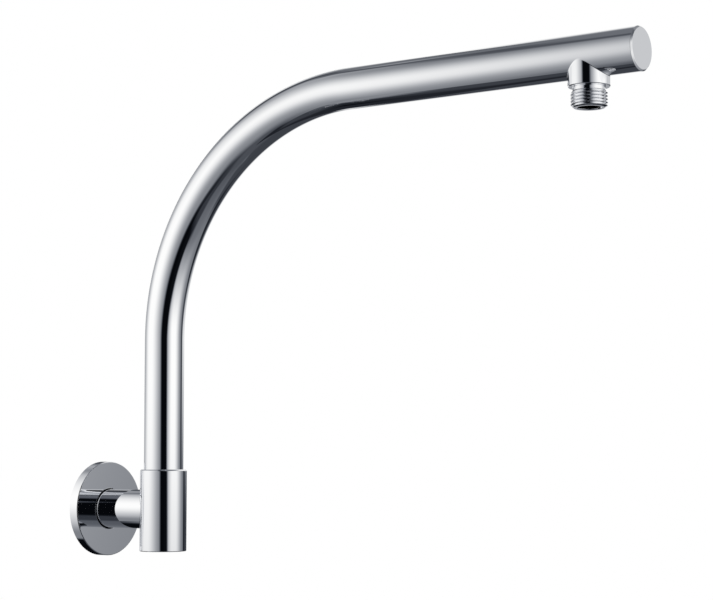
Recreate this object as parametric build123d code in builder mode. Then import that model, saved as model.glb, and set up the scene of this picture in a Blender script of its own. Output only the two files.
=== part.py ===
from build123d import *
import os

os.makedirs("parts", exist_ok=True)

# Driving dimensions, in millimetres
# The inlet runs along X with the wall plane at X = 0, and Z is up
reach = 397.0
riser_x = 53.0
arm_z = 256.5
bend_radius = 147.5
tube_radius = 12.7
tube_wall = 1.2

# Pipe thread of both ends, half-inch parallel
thread_radius = 20.955 / 2
thread_relief_depth = 1.25

# Socket that takes the foot of the arm
socket_radius = 15.0
socket_top_z = 25.5
socket_bottom_z = -26.5
socket_floor = 10.5
socket_bore_radius = 10.5
socket_top_chamfer = 0.8
socket_bottom_chamfer = 0.4
tube_seat_depth = 3.5

# Inlet pipe between the wall and the socket
stub_radius = 12.5
inlet_bore_radius = 7.0
inlet_thread_length = 15.0
inlet_thread_front_x = 0.5
inlet_relief_length = 2.0
inlet_thread_chamfer = 1.2
inlet_pilot_wall = 1.5
inlet_pilot_setback = 0.7

# Cover flange and the rubber parts behind it
flange_radius = 30.5
flange_thickness = 6.5
flange_edge_chamfer = 0.4
flange_bore_chamfer = 0.7
flange_rim_width = 2.5
flange_recess_depth = 4.0
flange_hub_wall = 3.7
grip_section_radius = 0.85
grip_groove_width = 2.2
grip_groove_x = 2.4
gasket_width = 4.0

# Outlet nipple under the arm
outlet_setback = 33.0
outlet_drop = 29.5
outlet_collar_radius = 12.0
outlet_collar_drop = 17.8
outlet_collar_chamfer = 0.4
outlet_relief_length = 2.2
outlet_lead_width = 1.8
outlet_lead_height = 1.0
outlet_bore_radius = 6.5
outlet_bore_chamfer = 0.5
outlet_pilot_wall = 1.5
outlet_pilot_rise = 2.0

# Cap that closes the arm
cap_thickness = 2.0
cap_bevel = 0.9
cap_plug_length = 8.0
cap_plug_wall = 1.6

# Spigot in the foot of the arm, with its two sealing rings
spigot_insert_length = 14.0
spigot_bore_radius = 7.0
spigot_land = 1.4
spigot_chamfer = 0.4
ring_section_radius = 0.75
ring_groove_width = 2.4
lock_groove_width = 3.0
lock_groove_depth = 1.2

# Screw that holds the spigot in the socket
lock_screw_radius = 2.5
lock_screw_setback = 0.6
lock_screw_chamfer = 0.3
lock_key_across_flats = 2.5
lock_key_depth = 2.0

# Clearances
slide_gap = 0.15
braze_gap = 0.05
turn_gap = 0.1
ring_gap = 0.05
screw_gap = 0.05
point_gap = 0.2

# Arm and tube, worked out from the sizes above
tube_bore_radius = tube_radius - tube_wall
tube_end_x = reach - cap_thickness
bend_start_z = arm_z - bend_radius
bend_end_x = riser_x + bend_radius
plug_radius = tube_bore_radius - braze_gap
thread_relief_radius = thread_radius - thread_relief_depth

# Socket and spigot
seat_z = socket_top_z - tube_seat_depth
socket_floor_z = socket_bottom_z + socket_floor
spigot_radius = socket_bore_radius - turn_gap
spigot_top_z = seat_z + spigot_insert_length
lock_groove_radius = spigot_radius - lock_groove_depth
lock_groove_top_z = seat_z - spigot_land
lock_groove_foot_z = lock_groove_top_z - lock_groove_width
lock_screw_z = lock_groove_top_z - lock_groove_width / 2
ring_groove_radius = socket_bore_radius - 2 * (ring_section_radius + ring_gap)
ring_centre_radius = socket_bore_radius - ring_gap - ring_section_radius
upper_groove_top_z = lock_groove_foot_z - spigot_land
upper_groove_foot_z = upper_groove_top_z - ring_groove_width
lower_groove_top_z = upper_groove_foot_z - spigot_land
lower_groove_foot_z = lower_groove_top_z - ring_groove_width
spigot_foot_z = lower_groove_foot_z - spigot_land
lock_point_radius = lock_groove_width / 2 - point_gap
lock_screw_back_x = riser_x - socket_radius + lock_screw_setback
lock_screw_shoulder_x = riser_x - spigot_radius - point_gap
lock_screw_tip_x = riser_x - lock_groove_radius - point_gap

# Inlet and flange
inlet_thread_end_x = inlet_thread_front_x - inlet_thread_length
stub_back_x = inlet_thread_front_x + inlet_relief_length
inlet_pilot_radius = inlet_bore_radius + inlet_pilot_wall
inlet_pilot_end_x = riser_x - socket_bore_radius - inlet_pilot_setback
flange_bore_radius = stub_radius + slide_gap
flange_recess_radius = flange_radius - flange_rim_width
grip_groove_radius = stub_radius + 2 * (grip_section_radius + ring_gap)
grip_centre_radius = stub_radius + ring_gap + grip_section_radius
grip_groove_end_x = grip_groove_x + grip_groove_width
flange_hub_radius = grip_groove_radius + flange_hub_wall
gasket_radius = flange_recess_radius - ring_gap
gasket_hole_radius = gasket_radius - gasket_width

# Outlet
outlet_x = reach - outlet_setback
outlet_foot_z = arm_z - outlet_drop
collar_foot_z = arm_z - outlet_collar_drop
outlet_relief_foot_z = collar_foot_z - outlet_relief_length
outlet_lead_radius = thread_radius - outlet_lead_width
outlet_pilot_radius = outlet_bore_radius + outlet_pilot_wall
outlet_pilot_top_z = arm_z - tube_bore_radius + outlet_pilot_rise

# Planes and axes of the turned pieces, where x is the radius and y the height
riser_section = Plane(origin=(riser_x, 0, 0), x_dir=(1, 0, 0), z_dir=(0, -1, 0))
riser_axis = Axis((riser_x, 0, 0), (0, 0, 1))
outlet_section = Plane(origin=(outlet_x, 0, 0), x_dir=(1, 0, 0), z_dir=(0, -1, 0))
outlet_axis = Axis((outlet_x, 0, 0), (0, 0, 1))

# Arm tube, one length bent through a right angle, with a hole below for the nipple
with BuildPart() as arm_tube:
    with BuildLine(Plane.XZ) as arm_route:
        Line((riser_x, seat_z), (riser_x, bend_start_z))
        CenterArc((bend_end_x, bend_start_z), bend_radius, 180, -90)
        Line((bend_end_x, arm_z), (tube_end_x, arm_z))
    with BuildSketch(Plane.XY.offset(seat_z)):
        with Locations((riser_x, 0)):
            Circle(tube_radius)
            Circle(tube_bore_radius, mode=Mode.SUBTRACT)
    sweep(path=arm_route.wires()[0])
    with BuildSketch(Plane.XY.offset(arm_z)):
        with Locations((outlet_x, 0)):
            Circle(outlet_pilot_radius + braze_gap)
    extrude(amount=-tube_radius, mode=Mode.SUBTRACT)
arm_tube.part.label = "arm_tube"
export_step(arm_tube.part, "parts/arm_tube.step")

# End cap, a bevelled disc with a hollow plug that fits the tube
with BuildPart() as end_cap:
    with BuildSketch(Plane.YZ.offset(tube_end_x)):
        with Locations((0, arm_z)):
            Circle(tube_radius)
    extrude(amount=cap_thickness)
    chamfer(end_cap.edges().group_by(Axis.X)[-1], cap_bevel)
    with BuildSketch(Plane.YZ.offset(tube_end_x)):
        with Locations((0, arm_z)):
            Circle(plug_radius)
            Circle(plug_radius - cap_plug_wall, mode=Mode.SUBTRACT)
    extrude(amount=-cap_plug_length)
end_cap.part.label = "end_cap"
export_step(end_cap.part, "parts/end_cap.step")

# Outlet nipple, a collar shaped to the tube over a threaded end
with BuildPart() as outlet_nipple:
    with BuildSketch(Plane.XY.offset(collar_foot_z)):
        with Locations((outlet_x, 0)):
            Circle(outlet_collar_radius)
    extrude(amount=arm_z - collar_foot_z)
    chamfer(outlet_nipple.edges().group_by(Axis.Z)[0], outlet_collar_chamfer)
    with BuildSketch(Plane.YZ.offset(outlet_x)):
        with Locations((0, arm_z)):
            Circle(tube_radius + braze_gap)
    extrude(amount=outlet_collar_radius, both=True, mode=Mode.SUBTRACT)
    # Pilot, relief groove and thread, turned in one profile
    with BuildSketch(outlet_section):
        with BuildLine():
            Polyline(
                (0, outlet_foot_z),
                (outlet_lead_radius, outlet_foot_z),
                (thread_radius, outlet_foot_z + outlet_lead_height),
                (thread_radius, outlet_relief_foot_z),
                (thread_relief_radius, outlet_relief_foot_z),
                (thread_relief_radius, collar_foot_z),
                (outlet_pilot_radius, collar_foot_z),
                (outlet_pilot_radius, outlet_pilot_top_z),
                (0, outlet_pilot_top_z),
                close=True,
            )
        make_face()
    revolve(axis=outlet_axis)
    # Water bore, eased at its mouth
    with BuildSketch(outlet_section):
        with BuildLine():
            Polyline(
                (0, outlet_foot_z),
                (outlet_bore_radius + outlet_bore_chamfer, outlet_foot_z),
                (outlet_bore_radius, outlet_foot_z + outlet_bore_chamfer),
                (outlet_bore_radius, outlet_pilot_top_z),
                (0, outlet_pilot_top_z),
                close=True,
            )
        make_face()
    revolve(axis=outlet_axis, mode=Mode.SUBTRACT)
outlet_nipple.part.label = "outlet_nipple"
export_step(outlet_nipple.part, "parts/outlet_nipple.step")

# Arm spigot, fixed in the foot of the tube, with a lock groove over two ring grooves
with BuildPart() as arm_spigot:
    with BuildSketch(riser_section):
        with BuildLine():
            Polyline(
                (spigot_bore_radius, spigot_foot_z),
                (spigot_radius - spigot_chamfer, spigot_foot_z),
                (spigot_radius, spigot_foot_z + spigot_chamfer),
                (spigot_radius, lower_groove_foot_z),
                (ring_groove_radius, lower_groove_foot_z),
                (ring_groove_radius, lower_groove_top_z),
                (spigot_radius, lower_groove_top_z),
                (spigot_radius, upper_groove_foot_z),
                (ring_groove_radius, upper_groove_foot_z),
                (ring_groove_radius, upper_groove_top_z),
                (spigot_radius, upper_groove_top_z),
                (spigot_radius, lock_groove_foot_z),
                (lock_groove_radius, lock_groove_foot_z),
                (lock_groove_radius, lock_groove_top_z),
                (spigot_radius, lock_groove_top_z),
                (spigot_radius, seat_z),
                (plug_radius, seat_z),
                (plug_radius, spigot_top_z - spigot_chamfer),
                (plug_radius - spigot_chamfer, spigot_top_z),
                (spigot_bore_radius, spigot_top_z),
                close=True,
            )
        make_face()
    revolve(axis=riser_axis)
arm_spigot.part.label = "arm_spigot"
export_step(arm_spigot.part, "parts/arm_spigot.step")

# Sealing rings in the two grooves of the spigot
with BuildPart() as spigot_ring_upper:
    with Locations((riser_x, 0, (upper_groove_top_z + upper_groove_foot_z) / 2)):
        Torus(ring_centre_radius, ring_section_radius)
spigot_ring_upper.part.label = "spigot_ring_upper"
export_step(spigot_ring_upper.part, "parts/spigot_ring_upper.step")

with BuildPart() as spigot_ring_lower:
    with Locations((riser_x, 0, (lower_groove_top_z + lower_groove_foot_z) / 2)):
        Torus(ring_centre_radius, ring_section_radius)
spigot_ring_lower.part.label = "spigot_ring_lower"
export_step(spigot_ring_lower.part, "parts/spigot_ring_lower.step")

# Socket body, closed below, with the water port and the screw hole on its wall side
with BuildPart() as socket_body:
    with BuildSketch(riser_section):
        with BuildLine():
            Polyline(
                (0, socket_bottom_z),
                (socket_radius - socket_bottom_chamfer, socket_bottom_z),
                (socket_radius, socket_bottom_z + socket_bottom_chamfer),
                (socket_radius, socket_top_z - socket_top_chamfer),
                (socket_radius - socket_top_chamfer, socket_top_z),
                (tube_radius + slide_gap, socket_top_z),
                (tube_radius + slide_gap, seat_z),
                (socket_bore_radius, seat_z),
                (socket_bore_radius, socket_floor_z),
                (0, socket_floor_z),
                close=True,
            )
        make_face()
    revolve(axis=riser_axis)
    with BuildSketch(Plane.YZ.offset(riser_x)):
        Circle(inlet_pilot_radius + braze_gap)
        with Locations((0, lock_screw_z)):
            Circle(lock_screw_radius)
    extrude(amount=-socket_radius, mode=Mode.SUBTRACT)
socket_body.part.label = "socket_body"
export_step(socket_body.part, "parts/socket_body.step")

# Lock screw, a grub screw with a hexagon socket, whose point stands in the lock groove
with BuildPart() as lock_screw:
    with BuildSketch(Plane.YZ.offset(lock_screw_back_x)):
        with Locations((0, lock_screw_z)):
            Circle(lock_screw_radius - screw_gap)
    extrude(amount=lock_screw_shoulder_x - lock_screw_back_x)
    chamfer(lock_screw.edges().group_by(Axis.X)[0], lock_screw_chamfer)
    with BuildSketch(Plane.YZ.offset(lock_screw_shoulder_x)):
        with Locations((0, lock_screw_z)):
            Circle(lock_point_radius)
    extrude(amount=lock_screw_tip_x - lock_screw_shoulder_x)
    with BuildSketch(Plane.YZ.offset(lock_screw_back_x)):
        with Locations((0, lock_screw_z)):
            RegularPolygon(lock_key_across_flats / 2, 6, major_radius=False)
    extrude(amount=lock_key_depth, mode=Mode.SUBTRACT)
lock_screw.part.label = "lock_screw"
export_step(lock_screw.part, "parts/lock_screw.step")

# Wall stub, the inlet pipe, shaped to the socket at one end and threaded at the other
with BuildPart() as wall_stub:
    with BuildSketch(Plane.YZ.offset(stub_back_x)):
        Circle(stub_radius)
    extrude(amount=riser_x - stub_back_x)
    with BuildSketch(Plane.XY.offset(-stub_radius)):
        with Locations((riser_x, 0)):
            Circle(socket_radius + braze_gap)
    extrude(amount=2 * stub_radius, mode=Mode.SUBTRACT)
    # Thread, relief groove and pilot, turned in one profile
    with BuildSketch(Plane.XZ):
        with BuildLine():
            Polyline(
                (inlet_thread_end_x, 0),
                (inlet_thread_end_x, thread_radius - inlet_thread_chamfer),
                (inlet_thread_end_x + inlet_thread_chamfer, thread_radius),
                (inlet_thread_front_x, thread_radius),
                (inlet_thread_front_x, thread_relief_radius),
                (stub_back_x, thread_relief_radius),
                (stub_back_x, inlet_pilot_radius),
                (inlet_pilot_end_x, inlet_pilot_radius),
                (inlet_pilot_end_x, 0),
                close=True,
            )
        make_face()
    revolve(axis=Axis.X)
    with BuildSketch(Plane.YZ.offset(inlet_thread_end_x)):
        Circle(inlet_bore_radius)
    extrude(amount=inlet_pilot_end_x - inlet_thread_end_x, mode=Mode.SUBTRACT)
wall_stub.part.label = "wall_stub"
export_step(wall_stub.part, "parts/wall_stub.step")

# Wall flange, a flat cover plate with a recessed back and a hub that slides on the stub
with BuildPart() as wall_flange:
    with BuildSketch(Plane.XZ):
        with BuildLine():
            Polyline(
                (0, flange_bore_radius),
                (grip_groove_x, flange_bore_radius),
                (grip_groove_x, grip_groove_radius),
                (grip_groove_end_x, grip_groove_radius),
                (grip_groove_end_x, flange_bore_radius),
                (flange_thickness - flange_bore_chamfer, flange_bore_radius),
                (flange_thickness, flange_bore_radius + flange_bore_chamfer),
                (flange_thickness, flange_radius - flange_edge_chamfer),
                (flange_thickness - flange_edge_chamfer, flange_radius),
                (0, flange_radius),
                (0, flange_recess_radius),
                (flange_recess_depth, flange_recess_radius),
                (flange_recess_depth, flange_hub_radius),
                (0, flange_hub_radius),
                close=True,
            )
        make_face()
    revolve(axis=Axis.X)
wall_flange.part.label = "wall_flange"
export_step(wall_flange.part, "parts/wall_flange.step")

# Grip ring, which holds the flange where it is pushed along the stub
with BuildPart() as flange_grip_ring:
    with Locations(Location(((grip_groove_x + grip_groove_end_x) / 2, 0, 0), (0, 90, 0))):
        Torus(grip_centre_radius, grip_section_radius)
flange_grip_ring.part.label = "flange_grip_ring"
export_step(flange_grip_ring.part, "parts/flange_grip_ring.step")

# Wall gasket, a flat ring that lies against the rim in the flange's recess
with BuildPart() as wall_gasket:
    with BuildSketch(Plane.YZ):
        Circle(gasket_radius)
        Circle(gasket_hole_radius, mode=Mode.SUBTRACT)
    extrude(amount=flange_recess_depth)
wall_gasket.part.label = "wall_gasket"
export_step(wall_gasket.part, "parts/wall_gasket.step")
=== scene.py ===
import math
import bpy
import numpy as np
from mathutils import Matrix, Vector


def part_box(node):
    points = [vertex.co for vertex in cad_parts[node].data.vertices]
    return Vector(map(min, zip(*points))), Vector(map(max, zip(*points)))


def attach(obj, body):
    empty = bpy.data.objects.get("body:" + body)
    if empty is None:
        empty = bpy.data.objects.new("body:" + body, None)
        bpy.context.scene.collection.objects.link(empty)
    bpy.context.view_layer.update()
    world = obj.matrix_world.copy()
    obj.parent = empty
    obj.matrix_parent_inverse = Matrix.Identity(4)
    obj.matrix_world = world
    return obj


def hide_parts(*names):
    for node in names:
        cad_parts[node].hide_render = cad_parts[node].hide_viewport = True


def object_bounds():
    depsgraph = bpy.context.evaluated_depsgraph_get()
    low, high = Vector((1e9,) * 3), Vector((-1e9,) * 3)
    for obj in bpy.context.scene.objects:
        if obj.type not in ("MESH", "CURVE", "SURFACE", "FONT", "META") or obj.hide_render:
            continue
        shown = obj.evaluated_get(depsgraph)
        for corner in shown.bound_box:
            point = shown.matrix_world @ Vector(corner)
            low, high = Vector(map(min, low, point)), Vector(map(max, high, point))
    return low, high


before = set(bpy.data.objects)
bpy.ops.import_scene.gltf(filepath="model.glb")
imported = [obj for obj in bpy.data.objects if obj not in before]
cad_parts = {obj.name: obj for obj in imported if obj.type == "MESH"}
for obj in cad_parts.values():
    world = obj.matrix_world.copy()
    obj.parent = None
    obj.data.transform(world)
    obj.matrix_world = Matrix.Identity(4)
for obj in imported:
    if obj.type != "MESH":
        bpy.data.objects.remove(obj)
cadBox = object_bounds()
print("frame loaded with", len(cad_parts), "nodes")

mm = 0.001
boxDigits = 5  # a hundredth of a millimetre
samePlace = 1e-9  # a ring narrower than this is a point
shortest = 1e-12  # keeps a normal of no length from dividing by zero
across = np.array([1.0, 0.0, 0.0])
sideways = np.array([0.0, 1.0, 0.0])
upwards = np.array([0.0, 0.0, 1.0])


# Sizes that the pieces share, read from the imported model
def boxOf(node):
    # The two corners of a node
    return [np.round(np.array(corner), boxDigits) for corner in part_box(node)]


tubeLow, tubeHigh = boxOf("arm_tube")
socketLow, socketHigh = boxOf("socket_body")
nippleLow, nippleHigh = boxOf("outlet_nipple")
stubLow, stubHigh = boxOf("wall_stub")
flangeHigh = boxOf("wall_flange")[1]
capLow, capHigh = boxOf("end_cap")

tubeRadius = tubeHigh[1]
riserX = tubeLow[0] + tubeRadius
armZ = tubeHigh[2] - tubeRadius
outletX = (nippleLow[0] + nippleHigh[0]) / 2
socketRadius = socketHigh[1]
stubRadius = stubHigh[1]

pipeThread = {
    "radius": 10.4775 * mm,
    "pitch": 1.814 * mm,
    "depth": 1.162 * mm,
    "sharpDepth": 1.742 * mm,
    "tipPower": 6,
    "rowsPerPitch": 16,
    "reliefRadius": 9.2275 * mm,
}


# Surfaces are gathered as points, four-cornered faces and one normal for each corner
def newSkin():
    return {"points": [], "count": 0, "faces": [], "normals": []}


def addPoints(skin, points):
    flat = points.reshape(-1, 3)
    ids = skin["count"] + np.arange(len(flat))
    skin["points"].append(flat)
    skin["count"] += len(flat)
    return ids.reshape(points.shape[:-1])


def addFaces(skin, ids, normals, wrap=True, skip=None):
    # Joins each row of a grid to the next, and the last column to the first where the grid wraps
    if wrap:
        ids = np.concatenate([ids, ids[:, :1]], axis=1)
        normals = np.concatenate([normals, normals[:, :1]], axis=1)
    corners = [(slice(0, -1), slice(0, -1)), (slice(0, -1), slice(1, None)),
               (slice(1, None), slice(1, None)), (slice(1, None), slice(0, -1))]
    faces = np.stack([ids[c] for c in corners], axis=-1)
    faceNormals = np.stack([normals[c] for c in corners], axis=-2)
    keep = np.ones(faces.shape[:2], bool)
    for rows, columns in skip or []:
        keep[rows[0]:rows[1], columns[0]:columns[1]] = False
    skin["faces"].append(faces[keep])
    skin["normals"].append(faceNormals[keep])


def addSection(skin, points, normals, first=None, last=None, skip=None):
    # One smooth band of rings. Its first or last ring may be one that is there already, and a ring with no
    # radius becomes a single point
    ids = np.zeros(points.shape[:2], int)
    start, stop = 0, len(points)
    if first is not None:
        ids[0], start = first, 1
    if last is not None:
        ids[-1], stop = last, stop - 1
    for row in (0, -1):
        held = first if row == 0 else last
        if held is None and np.ptp(points[row], axis=0).max() < samePlace:
            ids[row] = addPoints(skin, points[row, :1])[0]
            start, stop = (1, stop) if row == 0 else (start, stop - 1)
    ids[start:stop] = addPoints(skin, points[start:stop])
    addFaces(skin, ids, normals, skip=skip)
    return ids


def numericNormals(points):
    # Cross product of the steps along the rows and round the rings
    alongRows = np.gradient(points, axis=0, edge_order=2)
    roundRings = np.roll(points, -1, axis=1) - np.roll(points, 1, axis=1)
    normals = np.cross(alongRows, roundRings)
    return normals / np.maximum(np.linalg.norm(normals, axis=-1, keepdims=True), shortest)


def makePiece(skin, name, material, replaced, layout=None):
    # Turns each face to the side that its corners' normals point to, which is out of the solid, and makes the
    # object. A face with two corners in one place becomes a triangle
    points = np.concatenate(skin["points"])
    faces = np.concatenate(skin["faces"])
    normals = np.concatenate(skin["normals"])
    used, faces = np.unique(faces, return_inverse=True)
    points, faces = points[used], faces.reshape(-1, 4)
    a, b, c, d = (points[faces[:, k]] for k in range(4))
    against = np.einsum("ij,ikj->i", np.cross(c - a, d - b), normals) < 0
    faces[against], normals[against] = faces[against, ::-1], normals[against, ::-1]
    folded = [faces[:, k] == faces[:, (k + 1) % 4] for k in range(4)]
    whole = ~np.any(folded, axis=0)
    polygons, corners = faces[whole].tolist(), [normals[whole].reshape(-1, 3)]
    for k in range(4):
        others = [j for j in range(4) if j != k]
        polygons += faces[folded[k]][:, others].tolist()
        corners.append(normals[folded[k]][:, others].reshape(-1, 3))
    mesh = bpy.data.meshes.new(name)
    mesh.from_pydata(points.tolist(), [], polygons)
    mesh.polygons.foreach_set("use_smooth", np.ones(len(polygons), bool))
    mesh.normals_split_custom_set(np.concatenate(corners).tolist())
    if layout is not None:
        straightened = mesh.attributes.new("straightened", "FLOAT_VECTOR", "POINT")
        straightened.data.foreach_set("vector", layout(points).ravel())
    piece = bpy.data.objects.new(name, mesh)
    bpy.context.scene.collection.objects.link(piece)
    mesh.materials.append(material)
    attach(piece, "root")
    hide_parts(replaced)
    print("made", name, "with", len(polygons), "faces")


# A frame for turned pieces: where the axis starts, its direction and the two directions across it
def axisFrame(origin, axis):
    first = across if axis is upwards else sideways
    return np.array(origin), axis, first, np.cross(axis, first)


def turned(frameOf, radius, height, angles, radialPart, axialPart):
    # A point lies at its radius and height, turned about the axis. The normal's two parts turn with it
    origin, axis, first, second = frameOf
    radius, height, radialPart, axialPart = (
        np.broadcast_to(np.asarray(v, float), (len(radius), len(angles))) for v in
        (radius, height, radialPart, axialPart))
    outward = np.cos(angles)[..., None] * first + np.sin(angles)[..., None] * second
    points = origin + height[..., None] * axis + radius[..., None] * outward
    return points, radialPart[..., None] * outward + axialPart[..., None] * axis


def roundedOutline(corners, arcSteps=4):
    # Straight runs joined by tangent arcs. A corner is (radius, height, fillet), or sharp without a fillet.
    # The solid lies left of the way that the outline takes, and the normal turns evenly through an arc
    places = np.array([c[:2] for c in corners], float)
    fillets = [c[2] if len(c) > 2 else 0.0 for c in corners]
    way = np.diff(places, axis=0)
    way /= np.linalg.norm(way, axis=1, keepdims=True)
    outward = np.column_stack([way[:, 1], -way[:, 0]])
    bands, rows = [], [np.r_[places[0], outward[0]]]
    for k in range(1, len(places) - 1):
        if fillets[k] == 0:
            rows.append(np.r_[places[k], outward[k - 1]])
            bands.append(np.array(rows))
            rows = [np.r_[places[k], outward[k]]]
            continue
        turn = math.atan2(way[k - 1, 0] * way[k, 1] - way[k - 1, 1] * way[k, 0], way[k - 1] @ way[k])
        bulge = math.copysign(fillets[k], turn)
        start = places[k] - way[k - 1] * fillets[k] * math.tan(abs(turn) / 2)
        centre = start - bulge * outward[k - 1]
        angle = turn * np.linspace(0, 1, arcSteps + 1)
        cos, sin = np.cos(angle), np.sin(angle)
        x, y = outward[k - 1]
        normals = np.column_stack([x * cos - y * sin, x * sin + y * cos])
        rows += list(np.hstack([centre + bulge * normals, normals]))
    rows.append(np.r_[places[-1], outward[-1]])
    bands.append(np.array(rows))
    return bands


def addOutline(skin, frameOf, corners, angles, first=None, solidRight=False):
    # Turns a rounded outline about the axis, band by band, and gives its last ring. Where the solid lies
    # right of the way instead, the normals point the other way
    side = -1 if solidRight else 1
    ring = first
    for band in roundedOutline(corners):
        radius, height, radialPart, axialPart = np.split(band, 4, axis=1)
        points, normals = turned(frameOf, radius, height, angles, side * radialPart, side * axialPart)
        ring = addSection(skin, points, normals, first=ring)[-1]
    return ring


def threadRadius(angles, heights):
    # A triangle wave along the axis between root and crest, which moves on by one pitch a turn. Its tips are
    # rounded, because it is divided by a high root of one plus its own high power
    phase = (heights / pipeThread["pitch"] - angles / (2 * math.pi)) % 1.0
    wave = 1 - 2 * np.abs(2 * phase - 1)
    power, steep = pipeThread["tipPower"], pipeThread["sharpDepth"] / pipeThread["depth"]
    softened = wave * steep / (1 + np.abs(wave * steep) ** power) ** (1 / power)
    top = steep / (1 + steep ** power) ** (1 / power)
    return pipeThread["radius"] - pipeThread["depth"] / 2 * (1 - softened / top)


def addThread(skin, frameOf, angles, start, end, first):
    # The thread between two heights, cut at both ends by a cone. An end is (height, radius, cone slope)
    rows = int(round(abs(end[0] - start[0]) / pipeThread["pitch"] * pipeThread["rowsPerPitch"])) + 1
    heights = np.linspace(start[0], end[0], rows)[:, None]
    radius = threadRadius(angles, heights)
    for height, coneRadius, slope in (start, end):
        radius = np.minimum(radius, coneRadius + slope * np.abs(heights - height))
    points, _ = turned(frameOf, radius, heights, angles, 1.0, 0.0)
    return addSection(skin, points, numericNormals(points), first=first)[-1]


# A round hole drilled across a round wall. Across is the distance from the wall's middle line, along is the
# distance along its axis, and the wall's angle there is half a turn less the arc sine of across by radius
def pierceWall(skin, toSpace, radius, facing, ids, acrossRow, alongColumn, block, hole, steps=5):
    (rowA, rowB), (colA, colB) = block
    rows = np.r_[np.full(colB - colA, rowA), np.arange(rowA, rowB),
                 np.full(colB - colA, rowB), np.arange(rowB, rowA, -1)]
    cols = np.r_[np.arange(colA, colB), np.full(rowB - rowA, colB),
                 np.arange(colB, colA, -1), np.full(rowB - rowA, colA)]
    edge = np.stack([acrossRow[cols], alongColumn[rows]], axis=-1)
    angle = np.arctan2(edge[:, 1] - hole["along"], edge[:, 0])
    ring = np.stack([np.cos(angle), np.sin(angle)], axis=-1) * hole["radius"] + [0, hole["along"]]
    share = np.linspace(0, 1, steps + 1)[:, None, None]
    flat = edge * (1 - share) + ring * share
    points, normals = toSpace(math.pi - np.arcsin(flat[..., 0] / radius), flat[..., 1], radius)
    grid = addSection(skin, points, facing * normals, first=ids[rows, cols])
    return grid[-1], points[-1], angle


def joinHole(skin, outer, inner, acrossDirection, alongDirection):
    # The wall of a hole, between its rings on the outer and the inner surface
    ids = np.stack([outer[0], inner[0]])
    inward = -(np.cos(outer[2])[:, None] * acrossDirection + np.sin(outer[2])[:, None] * alongDirection)
    addFaces(skin, ids, np.stack([inward, inward]))


def holeColumns(count, halfColumns, blockHalf, radius):
    # Angles round a wall, half a turn at the middle of the holes. The block's columns reach a set distance
    # across, so that the block is as wide on the inner wall as on the outer one
    edge = math.asin(blockHalf / radius)
    block = np.linspace(-edge, edge, 2 * halfColumns + 1)
    rest = np.linspace(edge, 2 * math.pi - edge, count - 2 * halfColumns + 1)[1:-1]
    return math.pi + np.concatenate([block, rest])


# Materials
def nodeOf(tree, kind, inputs=None, **settings):
    # A node with its settings, and its sockets set or linked
    node = tree.nodes.new(kind)
    for key, value in settings.items():
        setattr(node, key, value)
    for key, value in (inputs or {}).items():
        if isinstance(value, bpy.types.NodeSocket):
            tree.links.new(value, node.inputs[key])
        else:
            node.inputs[key].default_value = value
    return node


def newMaterial(name):
    material = bpy.data.materials.new(name)
    material.use_nodes = True
    tree = material.node_tree
    return material, tree, tree.nodes["Principled BSDF"]


chromeLook = {
    "colour": (0.90, 0.91, 0.93, 1.0),
    "sharpest": 0.015,
    "haziest": 0.045,
    "hazeScale": 60.0,
    "hazeDetail": 3.0,
    "hazeFrom": 0.35,
    "hazeTo": 0.75,
    "peelScale": 140.0,
    "peelHeight": 0.0012 * mm,
    "markScale": 1500.0,
    "markShare": 0.35,
    "drawnSquash": (1.0, 1.0, 0.02),
}


def chromeMaterial(name, wayOfMarks):
    # Bright plating: a mirror whose polish clouds a little from place to place and along the marks of the
    # polishing belt, over the faint peel of the plated skin. wayOfMarks gives the vector that the marks read
    material, tree, shader = newMaterial(name)
    look = chromeLook
    place = nodeOf(tree, "ShaderNodeTexCoord").outputs["Object"]
    haze = nodeOf(tree, "ShaderNodeTexNoise", {
        "Vector": place, "Scale": look["hazeScale"], "Detail": look["hazeDetail"]})
    marks = nodeOf(tree, "ShaderNodeTexNoise", {
        "Vector": wayOfMarks(tree, place), "Scale": look["markScale"]})
    cloud = nodeOf(tree, "ShaderNodeMix", {
        "Factor": look["markShare"], "A": haze.outputs["Fac"], "B": marks.outputs["Fac"]}, data_type="FLOAT")
    polish = nodeOf(tree, "ShaderNodeMapRange", {
        "Value": cloud.outputs["Result"], "From Min": look["hazeFrom"], "From Max": look["hazeTo"],
        "To Min": look["sharpest"], "To Max": look["haziest"]})
    peel = nodeOf(tree, "ShaderNodeTexNoise", {"Vector": place, "Scale": look["peelScale"]})
    bump = nodeOf(tree, "ShaderNodeBump", {"Height": peel.outputs["Fac"], "Distance": look["peelHeight"]})
    shader.inputs["Base Color"].default_value = look["colour"]
    shader.inputs["Metallic"].default_value = 1.0
    tree.links.new(polish.outputs["Result"], shader.inputs["Roughness"])
    tree.links.new(bump.outputs["Normal"], shader.inputs["Normal"])
    return material


def alongTheTube(tree, place):
    # Marks that run along the drawn tube and follow its bend
    laidOut = nodeOf(tree, "ShaderNodeAttribute", attribute_name="straightened").outputs["Vector"]
    squashed = nodeOf(tree, "ShaderNodeMapping", {"Vector": laidOut, "Scale": chromeLook["drawnSquash"]})
    return squashed.outputs["Vector"]


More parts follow.
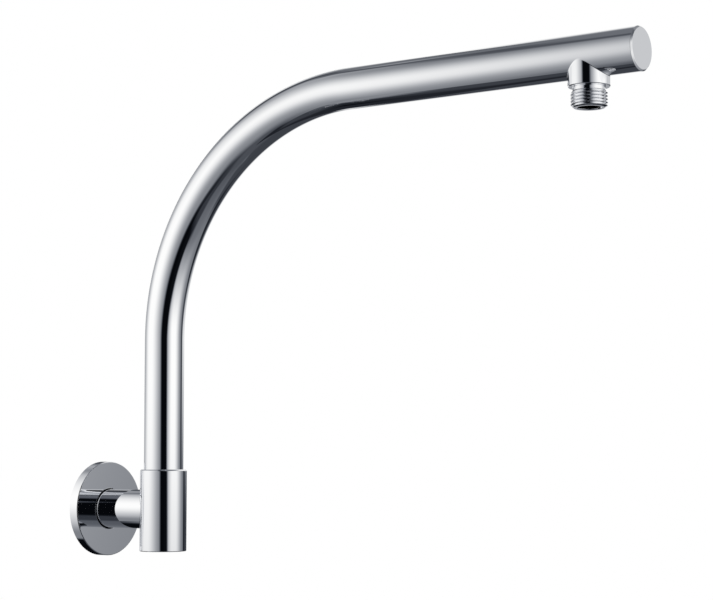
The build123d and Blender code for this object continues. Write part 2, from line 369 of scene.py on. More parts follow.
def roundAxis(axis, centre):
    # Marks that run round a turned piece's axis: they change with the distance from it and along it
    def wayOfMarks(tree, place):
        fromAxis = nodeOf(tree, "ShaderNodeVectorMath", {0: place, 1: centre}, operation="SUBTRACT")
        parts = nodeOf(tree, "ShaderNodeSeparateXYZ", {"Vector": fromAxis.outputs["Vector"]}).outputs
        flat = nodeOf(tree, "ShaderNodeCombineXYZ", {k: parts[k] for k in "XYZ" if k != axis})
        reach = nodeOf(tree, "ShaderNodeVectorMath", {0: flat.outputs["Vector"]}, operation="LENGTH")
        rings = nodeOf(tree, "ShaderNodeCombineXYZ", {"X": reach.outputs["Value"], "Z": parts[axis]})
        return rings.outputs["Vector"]
    return wayOfMarks


tubeChrome = chromeMaterial("chrome on drawn tube", alongTheTube)
wallChrome = chromeMaterial("chrome on turned wall fittings", roundAxis("X", (0, 0, 0)))
socketChrome = chromeMaterial("chrome on turned socket", roundAxis("Z", (riserX, 0, 0)))
nippleChrome = chromeMaterial("chrome on turned nipple", roundAxis("Z", (outletX, 0, 0)))
capChrome = chromeMaterial("chrome on turned cap", roundAxis("X", (0, 0, armZ)))
print("chrome made")


# Arm tube: a circle carried along the riser, a quarter turn and the arm
armTube = {
    "bendRadius": 147.5 * mm,
    "wall": 1.2 * mm,
    "around": 128,
    "riserRows": 20,
    "bendRows": 128,
    "armRows": 30,
    "endRows": 5,
    "holeRadius": 8.05 * mm,
    "blockHalf": 10.0 * mm,
    "blockColumns": 18,
    "blockRows": 16,
}


def armRoute(blockStations):
    # Middle line and outward direction at each station: up the riser, round the arc and along the arm
    radius, top = armTube["bendRadius"], armZ - armTube["bendRadius"]
    turn = np.linspace(0, math.pi / 2, armTube["bendRows"] + 1)[:, None]
    outOfBend = -np.cos(turn) * across + np.sin(turn) * upwards
    onArc = (riserX + radius) * across + top * upwards + radius * outOfBend
    rise = np.linspace(tubeLow[2], top, armTube["riserRows"] + 1)[:-1, None]
    onRiser = riserX * across + rise * upwards
    toBlock = np.linspace(riserX + radius, blockStations[0], armTube["armRows"] + 1)[1:-1]
    toEnd = np.linspace(blockStations[-1], tubeHigh[0], armTube["endRows"] + 1)[1:]
    onArm = np.r_[toBlock, blockStations, toEnd][:, None] * across + armZ * upwards
    middle = np.concatenate([onRiser, onArc, onArm])
    fromRiser, fromArm = np.tile(-across, (len(onRiser), 1)), np.tile(upwards, (len(onArm), 1))
    return middle, np.concatenate([fromRiser, outOfBend, fromArm])


def layOutTube(points):
    # A point of the tube with its bend straightened: outwards of the bend, sideways and along the route
    radius, top, turnedX = armTube["bendRadius"], armZ - armTube["bendRadius"], riserX + armTube["bendRadius"]
    x, y, z = points.T
    turn = np.clip(np.arctan2(z - top, turnedX - x), 0, math.pi / 2)
    inBend = np.hypot(np.maximum(turnedX - x, 0), np.maximum(z - top, 0))
    along = np.minimum(z - top, 0) + radius * turn + np.maximum(x - turnedX, 0)
    return np.column_stack([inBend - radius, y, along])


def makeArmTube():
    tube = armTube
    half = tube["blockHalf"]
    stations = outletX + np.linspace(-half, half, tube["blockRows"] + 1)
    middle, outward = armRoute(stations)
    skin = newSkin()
    firstRow = tube["riserRows"] + tube["bendRows"] + tube["armRows"]
    block = ((firstRow, firstRow + tube["blockRows"]), (0, 2 * tube["blockColumns"]))
    hole = {"along": outletX, "radius": tube["holeRadius"]}

    def toSpace(angle, along, radius):
        # A point on the level arm at an angle from its top
        normals = np.cos(angle)[..., None] * upwards + np.sin(angle)[..., None] * sideways
        return along[..., None] * across + armZ * upwards + radius * normals, normals

    walls = []
    for radius, facing in ((tubeRadius, 1), (tubeRadius - tube["wall"], -1)):
        angles = holeColumns(tube["around"], tube["blockColumns"], half, radius)
        normals = np.cos(angles)[None, :, None] * outward[:, None] + np.sin(angles)[None, :, None] * sideways
        ids = addSection(skin, middle[:, None] + radius * normals, facing * normals, skip=[block])
        ring = pierceWall(
            skin, toSpace, radius, facing, ids, radius * np.sin(angles), middle[:, 0], block, hole)
        walls.append((ids, ring))
    (outerIds, outerRing), (innerIds, innerRing) = walls
    joinHole(skin, outerRing, innerRing, sideways, across)
    for row, facing in ((0, -upwards), (-1, across)):
        ids = np.stack([outerIds[row], innerIds[row]])
        addFaces(skin, ids, np.broadcast_to(facing, (*ids.shape, 3)))
    makePiece(skin, "tube_skin", tubeChrome, "arm_tube", layOutTube)


makeArmTube()


# End cap: a bevelled disc with a hollow plug behind it
endCap = {
    "around": 128,
    "bevel": 0.9 * mm,
    "edge": 0.25 * mm,
    "fine": 0.1 * mm,
    "plugRadius": 11.45 * mm,
    "plugWall": 1.6 * mm,
    "thickness": 2.0 * mm,
}


def makeEndCap():
    cap = endCap
    front, back = capHigh[0], capHigh[0] - cap["thickness"]
    rim, plug = tubeRadius, cap["plugRadius"]
    bore = plug - cap["plugWall"]
    corners = [
        (0, back), (bore, back, cap["fine"]), (bore, capLow[0], cap["fine"]), (plug, capLow[0], cap["fine"]),
        (plug, back, cap["fine"]), (rim, back), (rim, front - cap["bevel"], cap["edge"]),
        (rim - cap["bevel"], front, cap["edge"]), (0, front),
    ]
    skin = newSkin()
    angles = np.linspace(0, 2 * math.pi, cap["around"], endpoint=False)
    addOutline(skin, axisFrame((0, 0, armZ), across), corners, angles)
    makePiece(skin, "end_disc", capChrome, "end_cap")


makeEndCap()


# Outlet nipple: a collar shaped to the tube, a relief groove and the pipe thread, with the water bore
outletNipple = {
    "around": 128,
    "collarFoot": 238.7 * mm,
    "collarChamfer": 0.4 * mm,
    "edge": 0.12 * mm,
    "saddleFillet": 0.45 * mm,
    "saddleSink": 0.03 * mm,
    "filletRows": 7,
    "topRows": 5,
    "reliefFoot": 236.5 * mm,
    "leadRadius": 8.6775 * mm,
    "leadSlope": 1.8,
    "runOutSlope": 1.0,
    "boreRadius": 6.5 * mm,
    "boreChamfer": 0.5 * mm,
    "pilotRadius": 8.0 * mm,
    "pilotGap": 0.05 * mm,
}


def makeOutletNipple():
    nipple = outletNipple
    frameOf = axisFrame((outletX, 0, 0), upwards)
    angles = np.linspace(0, 2 * math.pi, nipple["around"], endpoint=False)
    collar = nippleHigh[1]
    edge, foot = nipple["edge"], nipple["collarFoot"]

    def underTube(radius, sink=0.0):
        # Height of the underside of the tube over a circle of that radius
        return armZ - np.sqrt((tubeRadius - sink) ** 2 - (radius * np.sin(angles)) ** 2)

    skin = newSkin()
    # Fillet between the tube and the collar, a curve that leaves the tube's slope and ends on the collar's
    fillet, reach = nipple["saddleFillet"], np.linspace(0, 1, nipple["filletRows"])[:, None]
    outer, corner = collar + fillet, underTube(collar)
    radius = outer * (1 - reach) ** 2 + 2 * collar * reach * (1 - reach) + collar * reach ** 2
    height = (underTube(outer, nipple["saddleSink"]) * (1 - reach) ** 2 + 2 * corner * reach * (1 - reach)
              + (corner - fillet) * reach ** 2)
    points, _ = turned(frameOf, radius, height, angles, 1.0, 0.0)
    ids = addSection(skin, points, numericNormals(points))
    saddleRing, collarRing = ids[0], ids[-1]
    # Collar side down to the round of its foot, then the foot and the relief groove
    band, = roundedOutline([
        (collar, foot + 2 * nipple["collarChamfer"]), (collar, foot + nipple["collarChamfer"], edge),
        (collar - nipple["collarChamfer"], foot, edge), (pipeThread["reliefRadius"], foot, edge),
        (pipeThread["reliefRadius"], nipple["reliefFoot"])])
    radius, height, radialPart, axialPart = np.split(band, 4, axis=1)
    height = np.repeat(height, len(angles), axis=1)
    height[0] = corner - fillet
    points, normals = turned(frameOf, radius, height, angles, -radialPart, -axialPart)
    ids = addSection(skin, points, normals, first=collarRing)
    threadEnd = addThread(
        skin, frameOf, angles, (nipple["reliefFoot"], pipeThread["reliefRadius"], nipple["runOutSlope"]),
        (nippleLow[2], nipple["leadRadius"], nipple["leadSlope"]), ids[-1])
    # End face, eased mouth, water bore and pilot, up to the underside of the tube
    bore, ease = nipple["boreRadius"], nipple["boreChamfer"]
    pilot, top = nipple["pilotRadius"], nippleHigh[2]
    ring = addOutline(skin, frameOf, [
        (nipple["leadRadius"], nippleLow[2]), (bore + ease, nippleLow[2], edge),
        (bore, nippleLow[2] + ease, edge), (bore, top, edge), (pilot, top, edge), (pilot, top - edge * 2)],
        angles, first=threadEnd, solidRight=True)
    heights = np.stack([np.full(len(angles), top - edge * 2), underTube(pilot, -nipple["pilotGap"])])
    points, normals = turned(frameOf, np.full((2, 1), pilot), heights, angles, 1.0, 0.0)
    ring = addSection(skin, points, normals, first=ring)[-1]
    widths = np.linspace(pilot, outer, nipple["topRows"])[:, None]
    heights = underTube(widths, nipple["saddleSink"])
    heights[0] = underTube(pilot, -nipple["pilotGap"])
    points, _ = turned(frameOf, widths, heights, angles, 1.0, 0.0)
    addSection(skin, points, numericNormals(points), first=ring, last=saddleRing)
    makePiece(skin, "outlet_collar_and_thread", nippleChrome, "outlet_nipple")


makeOutletNipple()


# Socket: a turned cup with the water port and the screw hole on its wall side
socketCup = {
    "around": 128,
    "topChamfer": 0.8 * mm,
    "shoulder": 0.6 * mm,
    "bottomChamfer": 0.4 * mm,
    "edge": 0.12 * mm,
    "seatRadius": 12.85 * mm,
    "seatZ": 22.0 * mm,
    "boreRadius": 10.5 * mm,
    "floorZ": -16.0 * mm,
    "blockHalf": 9.6 * mm,
    "blockColumns": 18,
    "blockRows": 16,
    "portRadius": 8.55 * mm,
    "screwRadius": 2.5 * mm,
    "screwZ": 19.1 * mm,
    "screwBlockHalf": 2.8 * mm,
    "screwBlockColumns": 6,
    "screwBlockRows": 6,
}


def makeSocket():
    cup = socketCup
    frameOf = axisFrame((riserX, 0, 0), upwards)
    bore, edge, rim = cup["boreRadius"], cup["edge"], socketRadius
    low, high = socketLow[2], socketHigh[2]
    outerAngles = holeColumns(cup["around"], cup["blockColumns"], cup["blockHalf"], rim)
    innerAngles = holeColumns(cup["around"], cup["blockColumns"], cup["blockHalf"], bore)
    port = {"along": 0.0, "radius": cup["portRadius"]}
    screw = {"along": cup["screwZ"], "radius": cup["screwRadius"]}
    portRows = np.linspace(-cup["blockHalf"], cup["blockHalf"], cup["blockRows"] + 1)
    screwRows = cup["screwZ"] + np.linspace(-1, 1, cup["screwBlockRows"] + 1) * cup["screwBlockHalf"]
    rows = np.r_[portRows, screwRows]
    firstColumn, firstRow = cup["blockColumns"] - cup["screwBlockColumns"], 1 + len(portRows)
    blocks = [((1, 1 + cup["blockRows"]), (0, 2 * cup["blockColumns"])),
              ((firstRow, firstRow + cup["screwBlockRows"]),
               (firstColumn, firstColumn + 2 * cup["screwBlockColumns"]))]

    def toSpace(angle, along, radius):
        # A point on the upright wall at an angle from +X
        normals = np.cos(angle)[..., None] * across + np.sin(angle)[..., None] * sideways
        return riserX * across + along[..., None] * upwards + radius * normals, normals

    def addWall(radius, facing, angles, stations, first=None, last=None):
        # A straight wall with both holes in it
        radii, acrossRow = np.full((len(stations), 1), radius), radius * np.sin(angles)
        points, normals = turned(frameOf, radii, stations[:, None], angles, facing, 0.0)
        ids = addSection(skin, points, normals, first=first, last=last, skip=blocks)
        rings = [pierceWall(skin, toSpace, radius, facing, ids, acrossRow, stations, block, hole)
                 for block, hole in zip(blocks, (port, screw))]
        return ids, rings

    skin = newSkin()
    bottom, top = cup["bottomChamfer"], cup["topChamfer"]
    wallTop = high - top - cup["shoulder"]
    ring = addOutline(skin, frameOf, [
        (0, low), (rim - bottom, low, edge), (rim, low + bottom, edge), (rim, low + 2 * bottom)], outerAngles)
    outerIds, outerRings = addWall(rim, 1, outerAngles, np.r_[low + 2 * bottom, rows, wallTop], first=ring)
    seat, seatZ = cup["seatRadius"], cup["seatZ"]
    ring = addOutline(skin, frameOf, [
        (rim, wallTop), (rim, high - top, cup["shoulder"]), (rim - top, high, edge), (seat, high, edge),
        (seat, seatZ, edge), (bore + edge, seatZ)], outerAngles, first=outerIds[-1])
    # From the counterbore's floor the columns are those of the bore
    points, normals = turned(frameOf, np.full((2, 1), bore), np.full((2, 1), seatZ), innerAngles, 0.0, 1.0)
    points[0] = np.concatenate(skin["points"])[ring]
    boreTop = addSection(skin, points, normals, first=ring)[-1]
    floor = cup["floorZ"]
    innerIds, innerRings = addWall(bore, -1, innerAngles, np.r_[floor + edge, rows, seatZ], last=boreTop)
    addOutline(skin, frameOf, [(bore, floor + edge), (bore, floor), (0, floor)],
               innerAngles, first=innerIds[0])
    for outer, inner in zip(outerRings, innerRings):
        joinHole(skin, outer, inner, sideways, upwards)
    makePiece(skin, "socket_cup", socketChrome, "socket_body")


makeSocket()


# Inlet pipe between wall and socket, shaped to the socket, with the pipe thread behind the wall plane
wallPipe = {
    "around": 128,
    "copeGap": 0.05 * mm,
    "shoulderX": 2.5 * mm,
    "reliefEndX": 0.5 * mm,
    "threadChamfer": 1.2 * mm,
    "edge": 0.12 * mm,
    "boreRadius": 7.0 * mm,
    "pilotRadius": 8.5 * mm,
    "pilotEndX": 41.8 * mm,
    "coneSlope": 1.0,
    "copeRows": 5,
}


def makeWallPipe():
    pipe = wallPipe
    frameOf = axisFrame((0, 0, 0), across)
    angles = np.linspace(0, 2 * math.pi, pipe["around"], endpoint=False)
    edge, relief = pipe["edge"], pipeThread["reliefRadius"]
    shoulder = pipe["shoulderX"]

    def copeX(radius):
        # Where the pipe of that radius meets the round of the socket
        return riserX - np.sqrt((socketRadius + pipe["copeGap"]) ** 2 - (radius * np.cos(angles)) ** 2)

    skin = newSkin()
    heights = np.stack([copeX(stubRadius), np.full(len(angles), shoulder + edge)])
    points, normals = turned(frameOf, np.full((2, 1), stubRadius), heights, angles, 1.0, 0.0)
    ids = addSection(skin, points, normals)
    copeRing, ring = ids[0], ids[-1]
    ring = addOutline(skin, frameOf, [
        (stubRadius, shoulder + edge), (stubRadius, shoulder, edge / 2), (relief, shoulder, edge),
        (relief, pipe["reliefEndX"])], angles, first=ring, solidRight=True)
    endRadius, slope = pipeThread["radius"] - pipe["threadChamfer"], pipe["coneSlope"]
    ring = addThread(
        skin, frameOf, angles, (pipe["reliefEndX"], relief, slope), (stubLow[0], endRadius, slope), ring)
    bore, pilot, pilotEnd = pipe["boreRadius"], pipe["pilotRadius"], pipe["pilotEndX"]
    ring = addOutline(skin, frameOf, [
        (endRadius, stubLow[0]), (bore, stubLow[0], edge), (bore, pilotEnd, edge),
        (pilot, pilotEnd, edge), (pilot, pilotEnd - 2 * edge)], angles, first=ring, solidRight=True)
    heights = np.stack([np.full(len(angles), pilotEnd - 2 * edge), copeX(pilot)])
    points, normals = turned(frameOf, np.full((2, 1), pilot), heights, angles, 1.0, 0.0)
    ring = addSection(skin, points, normals, first=ring)[-1]
    widths = np.linspace(pilot, stubRadius, pipe["copeRows"])[:, None]
    points, _ = turned(frameOf, widths, copeX(widths), angles, 1.0, 0.0)
    addSection(skin, points, numericNormals(points), first=ring, last=copeRing)
    makePiece(skin, "inlet_pipe_and_thread", wallChrome, "wall_stub")


makeWallPipe()


# Cover flange: a flat plate with a crisp rim, an eased bore and a recessed back
coverFlange = {
    "around": 192,
    "edgeChamfer": 0.4 * mm,
    "edge": 0.12 * mm,
    "boreRadius": 12.65 * mm,
    "frontBoreRadius": 13.1 * mm,
    "lip": 0.5 * mm,
    "rimWidth": 2.5 * mm,
    "recessDepth": 4.0 * mm,
    "hubRadius": 18.0 * mm,
    "grooveX": 2.4 * mm,
    "grooveWidth": 2.2 * mm,
    "grooveRadius": 14.3 * mm,
}


def makeFlange():
    plate = coverFlange
    frameOf = axisFrame((0, 0, 0), across)
    angles = np.linspace(0, 2 * math.pi, plate["around"], endpoint=False)
    edge, bore, rim = plate["edge"], plate["boreRadius"], flangeHigh[1]
    face, recess, depth = flangeHigh[0], flangeHigh[1] - plate["rimWidth"], plate["recessDepth"]
    front, hub = plate["frontBoreRadius"], plate["hubRadius"]
    groove, grooveX = plate["grooveRadius"], plate["grooveX"]
    grooveEnd = grooveX + plate["grooveWidth"]
    middle = (hub + recess) / 2
    band, = roundedOutline([
        (middle, depth), (recess, depth, edge), (recess, 0, edge), (rim, 0, edge),
        (rim, face - plate["edgeChamfer"], edge), (rim - plate["edgeChamfer"], face, edge),
        (front, face, plate["lip"]), (front, grooveEnd, edge), (groove, grooveEnd, edge),
        (groove, grooveX, edge), (bore, grooveX, edge), (bore, 0, edge), (hub, 0, edge), (hub, depth, edge),
        (middle, depth)])
    radius, height, radialPart, axialPart = np.split(band, 4, axis=1)
    points, normals = turned(frameOf, radius, height, angles, radialPart, axialPart)
    skin = newSkin()
    ids = addPoints(skin, points[:-1])
    addFaces(skin, np.concatenate([ids, ids[:1]]), normals)
    makePiece(skin, "flange_plate", wallChrome, "wall_flange")


makeFlange()


# Carried-over nodes: the bare brass spigot, the steel screw and the rubber
brassLook = {
    "bright": (0.78, 0.62, 0.32, 1),
    "tarnished": (0.62, 0.46, 0.21, 1),
    "tarnishScale": 90.0,
    "tarnishDetail": 4.0,
    "markScale": 900.0,
    "markWander": 1.5,
    "markDetail": 2.0,
    "smoothest": 0.22,
    "roughest": 0.38,
}


def brassMaterial():
    # Fine turning marks round the upright axis, and slow blotches of tarnish
    material, tree, shader = newMaterial("turned bare brass")
    look = brassLook
    place = nodeOf(tree, "ShaderNodeTexCoord").outputs["Object"]
    marks = nodeOf(tree, "ShaderNodeTexWave", {
        "Vector": place, "Scale": look["markScale"], "Distortion": look["markWander"],
        "Detail": look["markDetail"]}, bands_direction="Z")
    blotch = nodeOf(tree, "ShaderNodeTexNoise", {
        "Vector": place, "Scale": look["tarnishScale"], "Detail": look["tarnishDetail"]})
    tone = nodeOf(tree, "ShaderNodeMix", {"Factor": blotch.outputs["Fac"]}, data_type="RGBA")
    tone.inputs["A"].default_value = look["bright"]
    tone.inputs["B"].default_value = look["tarnished"]
    rough = nodeOf(tree, "ShaderNodeMapRange", {
        "Value": marks.outputs["Fac"], "To Min": look["smoothest"], "To Max": look["roughest"]})
    shader.inputs["Metallic"].default_value = 1.0
    tree.links.new(tone.outputs["Result"], shader.inputs["Base Color"])
    tree.links.new(rough.outputs["Result"], shader.inputs["Roughness"])
    return material


steelLook = {
    "colour": (0.56, 0.57, 0.59, 1),
    "grainScale": 2500.0,
    "grainDetail": 3.0,
    "smoothest": 0.22,
    "roughest": 0.42,
}


def steelMaterial():
    # The fine grain of a machined face, which varies how rough it is
    material, tree, shader = newMaterial("machined stainless steel")
    look = steelLook
    place = nodeOf(tree, "ShaderNodeTexCoord").outputs["Object"]
    grain = nodeOf(tree, "ShaderNodeTexNoise", {
        "Vector": place, "Scale": look["grainScale"], "Detail": look["grainDetail"]})
    rough = nodeOf(tree, "ShaderNodeMapRange", {
        "Value": grain.outputs["Fac"], "To Min": look["smoothest"], "To Max": look["roughest"]})
    shader.inputs["Base Color"].default_value = look["colour"]
    shader.inputs["Metallic"].default_value = 1.0
    tree.links.new(rough.outputs["Result"], shader.inputs["Roughness"])
    return material


rubberLook = {
    "black": (0.022, 0.022, 0.023, 1),
    "bloomed": (0.045, 0.045, 0.046, 1),
    "bloomScale": 220.0,
    "bloomDetail": 5.0,
    "grainScale": 3000.0,
    "grainHeight": 0.02 * mm,
    "grainStrength": 0.6,
    "roughness": 0.75,
}


def rubberMaterial():
    # Near black, with a paler bloom in places and a fine grain
    material, tree, shader = newMaterial("matt black rubber")
    look = rubberLook
    place = nodeOf(tree, "ShaderNodeTexCoord").outputs["Object"]
    bloom = nodeOf(tree, "ShaderNodeTexNoise", {
        "Vector": place, "Scale": look["bloomScale"], "Detail": look["bloomDetail"]})
    tone = nodeOf(tree, "ShaderNodeMix", {"Factor": bloom.outputs["Fac"]}, data_type="RGBA")
    tone.inputs["A"].default_value = look["black"]
    tone.inputs["B"].default_value = look["bloomed"]
    grain = nodeOf(tree, "ShaderNodeTexNoise", {"Vector": place, "Scale": look["grainScale"]})
    bump = nodeOf(tree, "ShaderNodeBump", {
        "Height": grain.outputs["Fac"], "Distance": look["grainHeight"], "Strength": look["grainStrength"]})
    shader.inputs["Roughness"].default_value = look["roughness"]
    tree.links.new(tone.outputs["Result"], shader.inputs["Base Color"])
    tree.links.new(bump.outputs["Normal"], shader.inputs["Normal"])
    return material


carriedOver = {
    "arm_spigot": brassMaterial(),
    "lock_screw": steelMaterial(),
}
rubber = rubberMaterial()
for node in ("spigot_ring_upper", "spigot_ring_lower", "flange_grip_ring", "wall_gasket"):
    carriedOver[node] = rubber
for node, material in carriedOver.items():
    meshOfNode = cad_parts[node].data
    meshOfNode.materials.clear()
    meshOfNode.materials.append(material)
print("carried-over nodes finished")


# Camera, at the photograph's place
photoCamera = {
    "place": (0.86362, -0.92743, 0.03131),
    "yaw": math.radians(35.3821),
    "pitch": math.radians(4.8259),
    "focalPixels": 1900.0,
    "pixelsWide": 713,
    "sensor": 36.0,
    "nearest": 0.05,
    "farthest": 200.0,
}


def makeCamera():
    # The lens is to the sensor's width as the focal length in pixels is to the picture's width
    data = bpy.data.cameras.new("photo camera")
    data.sensor_fit = "HORIZONTAL"
    data.sensor_width = photoCamera["sensor"]
    data.lens = photoCamera["focalPixels"] / photoCamera["pixelsWide"] * photoCamera["sensor"]
    data.clip_start, data.clip_end = photoCamera["nearest"], photoCamera["farthest"]
    camera = bpy.data.objects.new("photo camera", data)
    camera.location = photoCamera["place"]
    camera.rotation_euler = (math.pi / 2 + photoCamera["pitch"], 0, photoCamera["yaw"])
    bpy.context.scene.collection.objects.link(camera)
    bpy.context.scene.camera = camera


makeCamera()


# Studio: a pale floor under a plain white sky, and a tent of soft panels that only reflections show
studio = {
    "floorZ": -0.35,
    "floorHalf": 60.0,
    "floorColour": (1.0, 1.0, 1.0, 1.0),
    "floorRoughness": 1.0,
    "floorShine": 0.0,
    "skyColour": (1.0, 1.0, 1.0, 1.0),
    "skyLevel": 1.0,
    "tentRadius": 0.85,
    "tentRows": 48,
    "tentColumns": 96,
    "bareTent": 253,
    "cast": (1.05, 1.015, 0.945),
}

# The panels of the tent, each laid over those before it, with all angles in degrees. First come its azimuth
# from and to, 0 towards the camera and positive to its right, and its elevation from and to. Then how soft
# its left, right, lower and upper edges are, and the grey from 0 to 255 that the chrome shows in it. A last
# number is how far the panel leans to the right for each degree down
around, down, up = (-400, 400), -400, 400  # past every direction
tentPanels = {
    "wall shade": (around, (39, up), (1, 1, 60, 1), 125),
    "left floor": (around, (down, -22), (1, 1, 1, 50), 150),
    "left floor low": (around, (down, -59), (1, 1, 1, 44), 76),
    "front fade": ((-50, 135), (-58, up), (66, 1, 30, 1), 135, -0.15),
    "right wall": ((60, 145), (down, up), (1, 1, 1, 1), 135),
    "right softbox": ((28, 94), (down, 30), (44, 50, 1, 18), 253),
    "right top": ((24, 72), (40, 60), (12, 12, 8, 10), 98),
    "back softbox": ((143, up), (down, 51), (18, 1, 1, 26), 226),
    "back top": ((126, up), (14, 51), (20, 1, 6, 26), 240),
    "disc light": ((99, 122), (13, 26), (10, 12, 6, 8), 200),
    "right frame": ((86, 106), (24, 40), (5, 5, 4, 5), 14),
    "far softbox": ((down, -150), (down, 40), (1, 14, 1, 20), 228),
    "far ceiling": ((down, -156), (44, up), (1, 20, 22, 1), 104),
    "gap between": ((-153, -121), (down, 60), (10, 44, 1, 20), 169),
    "gap right": ((-153, -110), (38, 62), (10, 30, 14, 12), 160),
    "gap top": ((-155, -132), (31, 60), (12, 20, 16, 8), 70),
    "far line": ((-168, -155), (-3, 20), (6, 6, 6, 6), 80),
    "far line top": ((down, -152), (17, 27), (1, 10, 6, 6), 100),
    "right floor": ((20, 128), (down, -21), (20, 20, 1, 44), 115),
    "right floor low": ((20, 128), (down, -52), (30, 20, 1, 40), 88),
    "back floor": ((131, up), (down, -3), (16, 1, 1, 16), 64),
    "left corner": ((-124, -98), (-52, -26), (10, 14, 8, 10), 130),
    "far floor": ((down, -116), (down, -15), (1, 8, 1, 12), 36, -0.2),
    "far floor low": ((-165, -112), (down, -54), (16, 10, 1, 10), 62),
    "far floor black": ((-160, -116), (-46, -24), (6, 6, 4, 10), 9),
    "front floor": ((-31, 36), (down, -48), (40, 24, 1, 20), 54),
    "dark strip": ((126, 144), (-44, -4), (12, 12, 26, 12), 34, 0.1),
    "strip head": ((123, 139), (-8, 12), (10, 10, 10, 6), 64),
    "strip foot": ((118, 148), (-66, -36), (14, 12, 12, 12), 66),
    "flag foot": ((6, 42), (-57, -38), (12, 20, 10, 14), 56),
    "flag left": ((-14, 8), (-60, -20), (14, 8, 12, 10), 36),
    "black flag": ((-24, 16.5), (-42, 60), (13, 11, 14, 16), 8, 0.4),
    "flag edge": ((0, 21), (-42, -10), (8, 14, 10, 14), 14, 0.2),
    "flag head": ((-20, 26), (24, 44), (16, 14, 8, 14), 8),
    "ceiling": (around, (66, up), (1, 1, 6, 1), 110),
    "ceiling edge": ((-138, -50), (67, 75), (14, 20, 8, 6), 80),
    "gap corner": ((-142, -122), (55, 69), (8, 10, 6, 6), 86),
    "floor middle": ((-120, up), (down, -73), (30, 1, 1, 12), 78),
    "floor left": ((down, -100), (down, -74), (1, 40, 1, 8), 34),
}


def makeFloor():
    half, z = studio["floorHalf"], studio["floorZ"]
    corners = [(-half, -half, z), (half, -half, z), (half, half, z), (-half, half, z)]
    mesh = bpy.data.meshes.new("studio floor")
    mesh.from_pydata(corners, [], [(0, 1, 2, 3)])
    floor = bpy.data.objects.new("studio_floor", mesh)
    bpy.context.scene.collection.objects.link(floor)
    material, _, shader = newMaterial("pale floor")
    shader.inputs["Base Color"].default_value = studio["floorColour"]
    shader.inputs["Roughness"].default_value = studio["floorRoughness"]
    shader.inputs["Specular IOR Level"].default_value = studio["floorShine"]
    mesh.materials.append(material)
    floor.visible_glossy = False


def makeSky():
    world = bpy.data.worlds.new("plain white sky")
    world.use_nodes = True
    background = world.node_tree.nodes["Background"]
    background.inputs["Color"].default_value = studio["skyColour"]
    background.inputs["Strength"].default_value = studio["skyLevel"]
    bpy.context.scene.world = world


displayCurve = {
    "white": 255,
    "toe": 0.04045,
    "toeSlope": 12.92,
    "offset": 0.055,
    "power": 2.4,
}


def linearGrey(grey):
    # Light level of a display grey, by the sRGB curve: a straight toe, then a power of the offset grey
    curve = displayCurve
    share = grey / curve["white"]
    if share <= curve["toe"]:
        return share / curve["toeSlope"]
    return ((share + curve["offset"]) / (1 + curve["offset"])) ** curve["power"]


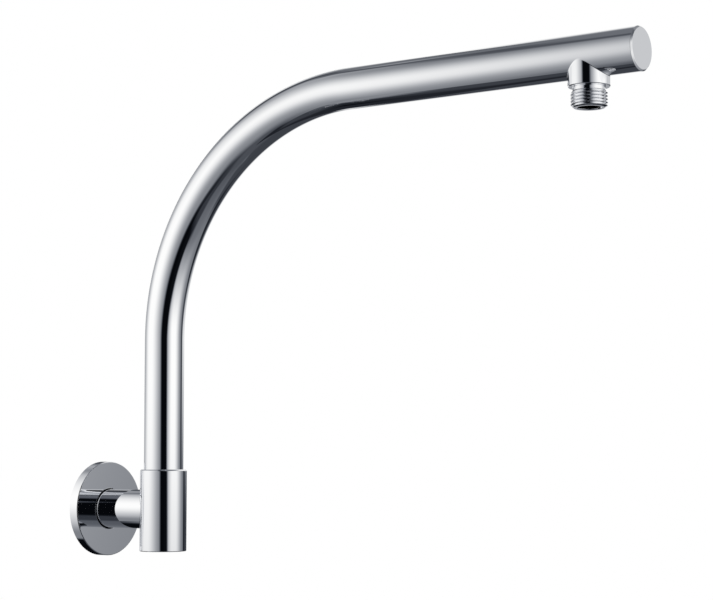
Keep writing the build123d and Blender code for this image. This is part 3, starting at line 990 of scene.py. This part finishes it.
def makeTent():
    # A sphere about the object whose two parameters, azimuth and elevation, are its UV map
    rows, columns = studio["tentRows"], studio["tentColumns"]
    elevation = np.linspace(-math.pi / 2, math.pi / 2, rows + 1)[:, None]
    azimuth = np.linspace(-math.pi, math.pi, columns + 1)[None]
    yaw = photoCamera["yaw"]
    towards = np.array([math.sin(yaw), -math.cos(yaw), 0])
    rightwards = np.array([math.cos(yaw), math.sin(yaw), 0])
    level = np.cos(azimuth)[..., None] * towards + np.sin(azimuth)[..., None] * rightwards
    points = np.cos(elevation)[..., None] * level + np.sin(elevation)[..., None] * upwards
    centre = (np.array(cadBox[0]) + np.array(cadBox[1])) / 2
    points = centre + studio["tentRadius"] * points
    ids = np.arange((rows + 1) * (columns + 1)).reshape(rows + 1, columns + 1)
    faces = np.stack([ids[:-1, :-1], ids[:-1, 1:], ids[1:, 1:], ids[1:, :-1]], axis=-1).reshape(-1, 4)
    mesh = bpy.data.meshes.new("tent")
    mesh.from_pydata(points.reshape(-1, 3).tolist(), [], faces.tolist())
    u = np.broadcast_to(np.degrees(azimuth), (rows + 1, columns + 1)).reshape(-1)
    v = np.broadcast_to(np.degrees(elevation), (rows + 1, columns + 1)).reshape(-1)
    uv = np.stack([u[faces], v[faces]], axis=-1).reshape(-1)
    mesh.uv_layers.new(name="directions").data.foreach_set("uv", uv)
    tent = bpy.data.objects.new("studio_tent", mesh)
    bpy.context.scene.collection.objects.link(tent)
    mesh.materials.append(tentMaterial())
    for ray in ("camera", "diffuse", "transmission", "volume_scatter", "shadow"):
        setattr(tent, "visible_" + ray, False)


def tentMaterial():
    # A panel covers what lies under it by the product of two soft windows, one across and one up
    material = bpy.data.materials.new("lit tent panels")
    material.use_nodes = True
    tree = material.node_tree
    tree.nodes.clear()
    directions = nodeOf(tree, "ShaderNodeUVMap", uv_map="directions").outputs["UV"]
    split = nodeOf(tree, "ShaderNodeSeparateXYZ", {"Vector": directions})
    azimuth, elevation = split.outputs["X"], split.outputs["Y"]

    def maths(operation, *values):
        inputs = dict(enumerate(values))
        return nodeOf(tree, "ShaderNodeMath", inputs, operation=operation).outputs["Value"]

    def between(value, limits, widths):
        # 1 between the limits and 0 outside, with a smooth step over each edge's width
        steps = [nodeOf(tree, "ShaderNodeMapRange", {
            "Value": value, "From Min": limit - width / 2, "From Max": limit + width / 2},
            interpolation_type="SMOOTHSTEP").outputs["Result"] for limit, width in zip(limits, widths)]
        return maths("SUBTRACT", *steps)

    light = linearGrey(studio["bareTent"])
    for sides, heights, soft, grey, *lean in tentPanels.values():
        leaned = maths("MULTIPLY_ADD", elevation, lean[0] if lean else 0.0, azimuth)
        cover = maths("MULTIPLY", between(leaned, sides, soft[:2]), between(elevation, heights, soft[2:]))
        light = nodeOf(tree, "ShaderNodeMix", {
            "Factor": cover, "A": light, "B": linearGrey(grey)}, data_type="FLOAT").outputs["Result"]
    # Shadows lean to blue: each channel is a power of the grey, divided by what the chrome keeps of it
    cast = [maths("DIVIDE", maths("POWER", light, power), kept)
            for power, kept in zip(studio["cast"], chromeLook["colour"])]
    colour = nodeOf(tree, "ShaderNodeCombineColor", dict(zip(("Red", "Green", "Blue"), cast)))
    glow = nodeOf(tree, "ShaderNodeEmission", {"Color": colour.outputs["Color"]})
    output = nodeOf(tree, "ShaderNodeOutputMaterial")
    tree.links.new(glow.outputs["Emission"], output.inputs["Surface"])
    material.cycles.emission_sampling = "NONE"
    return material


makeFloor()
makeSky()
makeTent()
bpy.context.scene.view_settings.view_transform = "Standard"
print("studio built")
